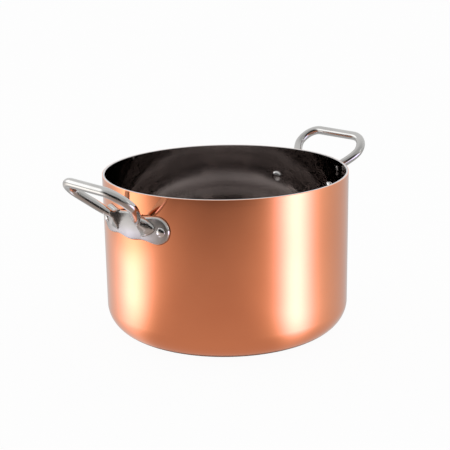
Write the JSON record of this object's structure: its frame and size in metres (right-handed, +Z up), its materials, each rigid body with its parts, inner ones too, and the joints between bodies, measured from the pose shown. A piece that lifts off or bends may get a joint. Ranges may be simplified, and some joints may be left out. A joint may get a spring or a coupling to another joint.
{
  "type": "stockpot",
  "caption": "Deep straight-sided copper cooking pot with a polished steel lining and riveted cast steel loop handles.",
  "frame": {"origin": "middle of the base's underside, where the pot's axis meets the table", "axes": "+Z up along the pot's axis, +X through the middle of the right handle, the left handle along -X"},
  "size_m": [0.3416, 0.24, 0.172],
  "materials": {
    "copper": "polished copper",
    "aluminium": "bare ground edge",
    "polished_steel": "mirror polished stainless steel",
    "cast_steel": "polished stainless casting, satin plate",
    "rivet_steel": "polished stainless steel"
  },
  "bodies": {
    "root": {"copper_shell": "copper", "aluminium_core": "aluminium", "steel_lining": "polished_steel", "handle_left": "cast_steel", "handle_right": "cast_steel", "rivet_left_front": "rivet_steel", "rivet_left_rear": "rivet_steel", "rivet_right_front": "rivet_steel", "rivet_right_rear": "rivet_steel"}
  },
  "joints": []
}
